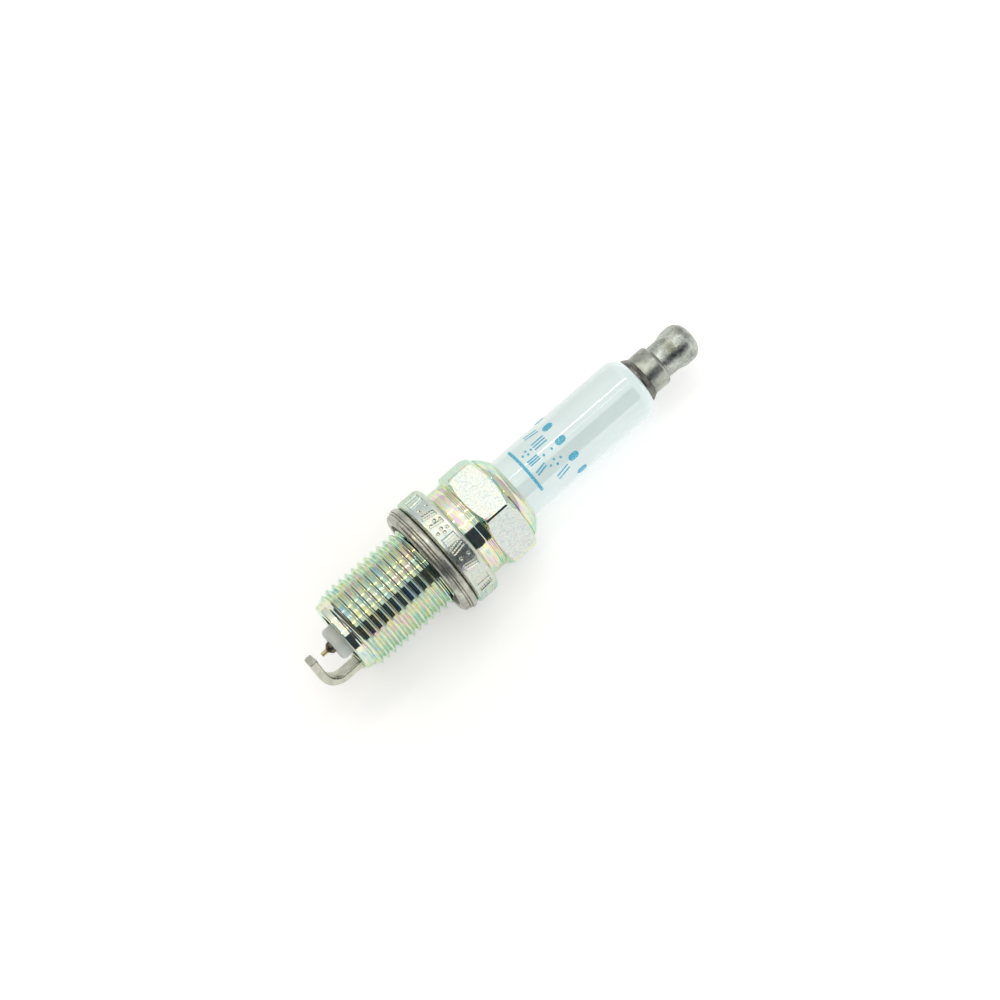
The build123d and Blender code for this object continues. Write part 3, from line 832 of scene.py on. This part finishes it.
def add_capsule(mesh, start, end, width):
    """A flat stroke with round ends, drawn in the XY plane: x along the plug, y round it."""
    start, end = Vector(start), Vector(end)
    direction = (end - start).normalized() if (end - start).length > 0 else Vector((1, 0))
    side = Vector((-direction.y, direction.x))
    vertices = []
    for centre, first in ((end, side), (start, -side)):
        out = direction if centre is end and first is side else -direction
        for piece in range(CAPSULE_END_PIECES + 1):
            angle = math.pi * piece / CAPSULE_END_PIECES
            spot = centre + (first * math.cos(angle) + out * math.sin(angle)) * width / 2
            wobble = noise.noise(Vector((spot.x * 9, spot.y * 9, 1.0))) * WOBBLE
            spot = spot + (spot - centre).normalized() * wobble
            vertices.append(mesh.verts.new((spot.x, spot.y, 0)))
    mesh.faces.new(vertices)


def wrap_print(mesh, name):
    """Bends flat strokes round the insulator and gives them a thickness."""
    low = min(v.co.y for v in mesh.verts)
    high = max(v.co.y for v in mesh.verts)
    cut = low + CUT_EVERY
    while cut < high:
        everything = mesh.verts[:] + mesh.edges[:] + mesh.faces[:]
        bmesh.ops.bisect_plane(mesh, geom=everything, plane_co=(0, cut, 0), plane_no=(0, 1, 0))
        cut += CUT_EVERY
    raised = bmesh.ops.extrude_face_region(mesh, geom=mesh.faces[:])
    top = {v for v in raised["geom"] if isinstance(v, bmesh.types.BMVert)}
    for vertex in mesh.verts:
        radius = BARREL_RADIUS + (PRINT_TOP if vertex in top else PRINT_FOOT)
        step = math.degrees(vertex.co.y / BARREL_RADIUS) / 360 * STEPS
        vertex.co = place(vertex.co.x, radius, step)
    make_piece(mesh, name, "plug", [BLUE_PRINT])


def on_barrel(x, degrees):
    return Vector((x, math.radians(degrees + PRINT_SIDE) * BARREL_RADIUS))


def add_mark(mesh, mark, x, degrees, size):
    middle = on_barrel(x, degrees)
    for start, end in mark:
        width = PRINT_DOT if start == end else PRINT_STROKE
        add_capsule(mesh, middle + Vector(start) * size, middle + Vector(end) * size, width)


def make_print():
    mesh = bmesh.new()
    line_start, line_end = (on_barrel(PRINT_LINE_X, degrees) for degrees in PRINT_LINE_ENDS)
    add_capsule(mesh, line_start, line_end, PRINT_LINE)
    for number, degrees in enumerate(LOWER_ROW_PLACES):
        mark = MARK_ORDER[(number + 1) % len(MARK_ORDER)]
        add_mark(mesh, mark, LOWER_ROW_X, degrees, LOWER_ROW_SIZE)
    for number, degrees in enumerate(UPPER_ROW_PLACES):
        mark = MARK_ORDER[(number * 2) % len(MARK_ORDER)]
        add_mark(mesh, mark, UPPER_ROW_X, degrees, UPPER_ROW_SIZE)
    half = Vector((CAPSULE_HALF_LENGTH, 0))
    for degrees in CAPSULE_PLACES:
        middle = on_barrel(CAPSULE_X, degrees)
        add_capsule(mesh, middle - half, middle + half, CAPSULE_WIDTH)
    wrap_print(mesh, "insulator_print")


make_print()


# ---------------------------------------------------------------- terminal
def make_stud():
    outline = rounded([
        (STUD_FOOT, 0, 0),
        (STUD_FOOT, STUD, 0.2),
        (BARREL_END, STUD, 0),
        (BARREL_END, STUD_FLANGE_RADIUS, 0.08),
        (BARREL_END + 0.35, STUD_FLANGE_RADIUS - 0.03, 0.2),
        (TERMINAL_START, STUD_FLANGE_RADIUS - 0.42, 0.08),
        (TERMINAL_START, STUD_THREAD, 0),
        (STUD_TOP - 0.4, STUD_THREAD, 0),
        (STUD_TOP, STUD_THREAD - 0.4, 0),
        (STUD_TOP, 0, 0),
    ])
    # The stud takes the near-black nickel, which is painted shade in the gap under the terminal.
    materials = [FLANGE_NICKEL_AND_PAINTED_SHADE]
    replaced = ["terminal_stud"]
    lathe("terminal_stud_flange", outline, "plug", materials, replaced, closed=False)


def make_terminal():
    """Stepped head with a bulb, a shallow dish in its end and a blind hole for the stud."""
    hole = STUD_THREAD + 0.02
    outline = rounded([
        (TERMINAL_START, hole, 0),
        (TERMINAL_START, TERMINAL_RADIUS, 0.1),
        (TERMINAL_STEP - 0.28, TERMINAL_RADIUS, 0.5),
        (TERMINAL_STEP, TERMINAL_NECK + 0.13, 0.12),
        (TERMINAL_STEP + 0.12, TERMINAL_NECK, 0.1),
        (BULB_START, TERMINAL_NECK, 0),
    ])
    for piece in range(1, 9):
        share = piece / 8
        rise = (1 - math.cos(math.pi * share)) / 2
        outline.append((BULB_START + BULB_LENGTH * share, TERMINAL_NECK + (BULB - TERMINAL_NECK) * rise))
    outline += arc((48.8, BULB), (49.95, BULB - 0.6), (TERMINAL_END, BULB - 1.5), 8)
    outline += [(TERMINAL_END, 1.5), (TERMINAL_END - 0.08, 1.0), (TERMINAL_END - 0.1, 0)]
    hole_outline = [(STUD_TOP + 0.2, 0), (STUD_TOP + 0.2, hole)]
    mesh = bmesh.new()
    head = outline_rings(mesh, outline)
    hole_rings = outline_rings(mesh, hole_outline)
    bridge_all(mesh, head)
    bridge_all(mesh, hole_rings + head[:1])
    # The head below the bulb takes the darkened nickel, which is painted shade.
    materials = [TERMINAL_NICKEL_AND_PAINTED_SHADE, BULB_NICKEL]
    replaced = ["terminal_nut"]
    terminal = make_piece(mesh, "terminal_head", "plug", materials, replaced)
    use_material(terminal, 1, lambda x, radius: x > TERMINAL_STEP + 0.1)


make_stud()
make_terminal()


# ---------------------------------------------------------------- centre electrode
def make_sheath():
    outline = rounded([
        (SHEATH_START, 0, 0),
        (SHEATH_START, TIP_RADIUS + 0.07, 0.03),
        (SHEATH_START + 0.42, SHEATH - 0.07, 0.1),
        (SHEATH_START + 0.6, SHEATH, 0.1),
        (-5.54, SHEATH, 0),
        (-4.68, HEAD_RADIUS, 0.05),
        (-4.0, HEAD_RADIUS, 0.05),
        (-3.75, 1.2, 0),
        (SHEATH_TOP, 1.2, 0),
        (SHEATH_TOP, CORE, 0),
        (CORE_END, CORE, 0),
        (CORE_END, 0, 0),
    ])
    materials = [SHEATH_NICKEL]
    replaced = ["centre_electrode"]
    lathe("centre_electrode_sheath", outline, "plug", materials, replaced, closed=False)


def make_disc(name, start, end, radius, rounding, rounded_end, replaced):
    """A plain round pin or pad of precious metal, with one of its two ends rounded."""
    outline = rounded([
        (start, 0, 0),
        (start, radius, 0 if rounded_end else rounding),
        (end, radius, rounding if rounded_end else 0),
        (end, 0, 0),
    ])
    lathe(name, outline, "plug", [PRECIOUS], replaced, closed=False)


def make_tip_weld():
    """The seam where the tip is welded on: each pair is a place along it and its height."""
    seam = [
        (-0.16, -0.02),
        (-0.13, 0.03),
        (-0.07, 0.06),
        (-0.02, 0.05),
        (0.03, 0.1),
        (0.1, 0.14),
        (0.16, 0.13),
        (0.16, -0.02),
    ]
    outline = [(TIP_START + along, TIP_RADIUS + height) for along, height in seam]
    lathe("centre_tip_weld", outline, "plug", [PRECIOUS])


make_sheath()
make_disc("centre_tip_pin", TIP_END, TIP_START, TIP_RADIUS, 0.06, False, ["centre_tip"])
make_tip_weld()


# ---------------------------------------------------------------- side electrode
def strap_point(x, out, across):
    """x along the plug, out from its axis in the strap's direction, across its width."""
    outward = Vector((0, -math.sin(STRAP_ANGLE), math.cos(STRAP_ANGLE)))
    sideways = Vector((1, 0, 0)).cross(outward)
    return (Vector((x, 0, 0)) + outward * out + sideways * across) * MM


def strap_section(inset, corner):
    """Points (outward, across) round the strap's section, starting from its outer side."""
    half_t = STRAP_THICKNESS / 2 - inset
    half_w = STRAP_WIDTH / 2 - inset
    points = []
    for quarter, (t, w) in enumerate(((1, 1), (-1, 1), (-1, -1), (1, -1))):
        for piece in range(5):
            angle = math.radians(90 * quarter + 90 * piece / 4)
            points.append((
                t * (half_t - corner) + corner * math.cos(angle),
                w * (half_w - corner) + corner * math.sin(angle),
            ))
    return points


def skin(mesh, rings, closed=False):
    """Faces between loops of vertices that all have the same number of vertices."""
    for low, high in zip(rings, rings[1:] + (rings[:1] if closed else [])):
        for i in range(len(low)):
            j = (i + 1) % len(low)
            mesh.faces.new((low[i], low[j], high[j], high[i]))


def make_strap():
    """The strap follows its middle line: out of the shell, round one bend, past the axis. Each
    station is x, distance from the axis, how far the line has turned, and the section's inset."""
    mesh = bmesh.new()
    bend = STRAP_BEND + STRAP_THICKNESS / 2
    last_x = STRAP_END + STRAP_THICKNESS / 2
    stations = [(SHELL_END, STRAP_MIDDLE, 0.0, 0.0), (SHELL_END - 0.8, STRAP_MIDDLE, 0.0, 0.0)]
    for piece in range(BEND_PIECES + 1):
        angle = math.pi / 2 * piece / BEND_PIECES
        x = last_x + bend - bend * math.sin(angle)
        out = STRAP_MIDDLE - bend + bend * math.cos(angle)
        stations.append((x, out, angle, 0.0))
    for inset, back in ((0.0, 0.3), (0.0, 0.12), (0.035, 0.04), (0.12, 0.0)):
        stations.append((last_x, back - STRAP_PAST_AXIS, math.pi / 2, inset))
    rings = []
    for x, out, angle, inset in stations:
        rings.append([
            mesh.verts.new(strap_point(x - t * math.sin(angle), out + t * math.cos(angle), w))
            for t, w in strap_section(inset, STRAP_CORNER)
        ])
    skin(mesh, rings)
    mesh.faces.new(rings[0])
    mesh.faces.new(rings[-1])
    make_piece(mesh, "side_electrode", "plug", [NICKEL], ["ground_electrode"])


def make_strap_weld():
    """The flash squeezed out round the strap's foot."""
    mesh = bmesh.new()
    rings = []
    for t, w in strap_section(0.0, 0.2):
        outward = Vector((t / STRAP_THICKNESS, w / STRAP_WIDTH)).normalized()
        bead = WELD_BEAD + WELD_UNEVEN * noise.noise(Vector((t * 2.1, w * 2.1, 3.0)))
        loop = []
        for piece in range(WELD_SIDES):
            angle = 2 * math.pi * piece / WELD_SIDES
            x = SHELL_END - 0.16 + math.sin(angle) * bead
            reach = math.cos(angle) * bead
            spot = strap_point(x, STRAP_MIDDLE + t + outward.x * reach, w + outward.y * reach)
            loop.append(mesh.verts.new(spot))
        rings.append(loop)
    skin(mesh, rings, closed=True)
    make_piece(mesh, "side_electrode_weld", "plug", [NICKEL])


make_strap()
make_strap_weld()
make_disc("side_electrode_pad", PAD_START, PAD_FACE, PAD_RADIUS, 0.04, True, ["ground_tip"])


# ---------------------------------------------------------------- sealed pieces
SEALED = {
    "centre_copper_core": COPPER,
    "lower_glass_seal": GLASS_SEAL,
    "upper_glass_seal": GLASS_SEAL,
    "resistor": RESISTOR,
    "seat_packing": PACKING_STEEL,
    "lower_packing_ring": PACKING_STEEL,
    "upper_packing_ring": PACKING_STEEL,
    "talc_ring": TALC,
}
for node, material in SEALED.items():
    for material_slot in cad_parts[node].material_slots:
        material_slot.material = material


# ---------------------------------------------------------------- floor, light and camera
TABLE_SLOPE = math.tan(math.radians(4.5))
TABLE_SLOPE_FROM = -30.0
TABLE_SLOPE_TO = 33.0
TABLE_GAP = 0.05
TABLE_REACH = 2500
TABLE_FINE = 60
TABLE_GLOW = 0.33


def floor_height(x):
    """The table touches the collar's rim and rises a little towards the terminal."""
    x = min(TABLE_SLOPE_TO, max(TABLE_SLOPE_FROM, x))
    return -COLLAR_RADIUS + TABLE_SLOPE * (x - COLLAR_HEIGHT / 2)


def make_table_material():
    shader = Shader("pale_table", roughness=0.7)
    grain = shader.noise(shader.stretched(900, 900, 900), detail=3)
    shader.set(base_color=shader.mix(grain, (0.84, 0.84, 0.84), (0.87, 0.87, 0.87)))
    shader.set(emission_color=(1.0, 1.0, 1.0), emission_strength=TABLE_GLOW)
    return shader.material


def make_floor():
    mesh = bmesh.new()
    along = [-TABLE_REACH, -TABLE_FINE] + list(range(10 - TABLE_FINE, TABLE_FINE + 1, 2))
    along += [TABLE_FINE + 20, TABLE_REACH]
    across = (-TABLE_REACH, -TABLE_FINE, TABLE_FINE, TABLE_REACH)
    lines = []
    for x in along:
        smooth = sum(floor_height(x + shift) for shift in range(-8, 9)) / 17
        lines.append([mesh.verts.new(Vector((x, y, smooth - TABLE_GAP)) * MM) for y in across])
    for low, high in zip(lines, lines[1:]):
        for i in range(3):
            mesh.faces.new((low[i], low[i + 1], high[i + 1], high[i]))
    for face in mesh.faces:
        face.smooth = True
    data = bpy.data.meshes.new("floor")
    mesh.to_mesh(data)
    mesh.free()
    data.materials.append(make_table_material())
    floor = bpy.data.objects.new("floor", data)
    bpy.context.scene.collection.objects.link(floor)


make_floor()


# Lamps, card and camera are placed in metres.
def face_axis(thing, x, degrees, distance):
    """Puts a thing at some distance from the plug's axis, turned from straight up towards -Y.
    Its X side lies along the plug and its Z side faces away from the axis."""
    angle = math.radians(degrees)
    back = Vector((0, -math.sin(angle), math.cos(angle)))
    along = Vector((1, 0, 0))
    matrix = Matrix((along, back.cross(along), back)).transposed().to_4x4()
    matrix.translation = back * distance + along * x
    thing.matrix_world = matrix


def add_lamp(name, x, degrees, length, width, radiance, colour):
    """A lamp tube that lies along the plug."""
    light = bpy.data.lights.new(name, "AREA")
    light.color = colour
    light.shape = "RECTANGLE"
    light.size = length
    light.size_y = width
    light.energy = radiance * math.pi * length * width
    thing = bpy.data.objects.new(name, light)
    bpy.context.scene.collection.objects.link(thing)
    face_axis(thing, x, degrees, LAMP_DISTANCE)


def add_card(name, x, degrees, distance, length, width):
    """A black card that shows only in reflections."""
    mesh = bmesh.new()
    corners = [(-1, -1), (1, -1), (1, 1), (-1, 1)]
    mesh.faces.new([mesh.verts.new((i * length / 2, j * width / 2, 0)) for i, j in corners])
    data = bpy.data.meshes.new(name)
    mesh.to_mesh(data)
    mesh.free()
    shader = Shader("black_card", roughness=0.9, base_color=(0.022, 0.034, 0.055))
    data.materials.append(shader.material)
    card = bpy.data.objects.new(name, data)
    bpy.context.scene.collection.objects.link(card)
    face_axis(card, x, degrees, distance)
    card.visible_camera = False
    card.visible_diffuse = False
    card.visible_shadow = False


def make_world(level, end_level, side_level):
    """A white light tent that is darker at its ends, most of all at -X, and on its +Y side."""
    world = bpy.data.worlds.new("studio")
    world.use_nodes = True
    tree = world.node_tree
    split = tree.nodes.new("ShaderNodeSeparateXYZ")
    tree.links.new(tree.nodes.new("ShaderNodeTexCoord").outputs["Generated"], split.inputs[0])
    strength = None
    for axis, start, end, bright, dark in (
        ("X", -0.12, -0.6, level, level * end_level),
        ("X", 0.4, 0.95, 1.0, (1 + end_level) / 2),
        ("Y", 0.5, 1.0, 1.0, side_level),
    ):
        shade = tree.nodes.new("ShaderNodeMapRange")
        shade.interpolation_type = "SMOOTHSTEP"
        shade.inputs["From Min"].default_value = start
        shade.inputs["From Max"].default_value = end
        shade.inputs["To Min"].default_value = bright
        shade.inputs["To Max"].default_value = dark
        tree.links.new(split.outputs[axis], shade.inputs["Value"])
        if strength is None:
            strength = shade.outputs["Result"]
            continue
        product = tree.nodes.new("ShaderNodeMath")
        product.operation = "MULTIPLY"
        tree.links.new(strength, product.inputs[0])
        tree.links.new(shade.outputs["Result"], product.inputs[1])
        strength = product.outputs[0]
    tree.links.new(strength, tree.nodes["Background"].inputs["Strength"])
    tree.nodes["Background"].inputs["Color"].default_value = (1, 1, 1, 1)
    bpy.context.scene.world = world


WORLD_LEVEL = 1.18
WORLD_END_LEVEL = 0.1
WORLD_SIDE_LEVEL = 0.68
PLUG_MIDDLE_X = 0.012
LAMP_DISTANCE = 0.6
THREAD_LAMP_X = -0.14
THREAD_LAMP_LENGTH = 0.42
INSULATOR_LAMP_X = 0.29
INSULATOR_LAMP_LENGTH = 0.4
WARM = (1.0, 0.82, 0.3)
WHITE = (1.0, 1.0, 1.0)

make_world(WORLD_LEVEL, WORLD_END_LEVEL, WORLD_SIDE_LEVEL)

# Two lamp tubes over the thread, two over the insulator, and the dark opening that the
# camera looks through
add_lamp("lamp_over_thread_right", THREAD_LAMP_X, 13, THREAD_LAMP_LENGTH, 0.012, 9.0, WARM)
add_lamp("lamp_over_thread_left", THREAD_LAMP_X, -31, THREAD_LAMP_LENGTH, 0.016, 8.0, WARM)
add_lamp(
    "lamp_over_insulator_right", INSULATOR_LAMP_X, 9, INSULATOR_LAMP_LENGTH, 0.01, 4.0, WHITE
)
add_lamp(
    "lamp_over_insulator_left", INSULATOR_LAMP_X, -10, INSULATOR_LAMP_LENGTH, 0.03, 6.5, WHITE
)
add_card("dark_opening", PLUG_MIDDLE_X, 51.5, 0.4, 0.56, 0.352)

CAMERA_AZIMUTH = math.radians(-16.53)
CAMERA_ELEVATION = math.radians(65.85)
CAMERA_ROLL = math.radians(-25.88)
CAMERA_DISTANCE = 0.5403
CAMERA_TARGET = Vector((0.012404, 0.000031, 0.0))
CAMERA_LENS = 130.05
CAMERA_SENSOR = 36


def make_camera():
    back = Vector((
        math.sin(CAMERA_AZIMUTH) * math.cos(CAMERA_ELEVATION),
        -math.cos(CAMERA_AZIMUTH) * math.cos(CAMERA_ELEVATION),
        math.sin(CAMERA_ELEVATION),
    ))
    level = Vector((0, 0, 1)).cross(back).normalized()
    above = back.cross(level)
    right = level * math.cos(CAMERA_ROLL) + above * math.sin(CAMERA_ROLL)
    up = above * math.cos(CAMERA_ROLL) - level * math.sin(CAMERA_ROLL)
    camera = bpy.data.cameras.new("camera")
    camera.lens = CAMERA_LENS
    camera.sensor_width = CAMERA_SENSOR
    camera.clip_start = 0.01
    thing = bpy.data.objects.new("camera", camera)
    bpy.context.scene.collection.objects.link(thing)
    matrix = Matrix((right, up, back)).transposed().to_4x4()
    matrix.translation = CAMERA_TARGET + back * CAMERA_DISTANCE
    thing.matrix_world = matrix
    bpy.context.scene.camera = thing


make_camera()
bpy.context.scene.view_settings.view_transform = "Standard"
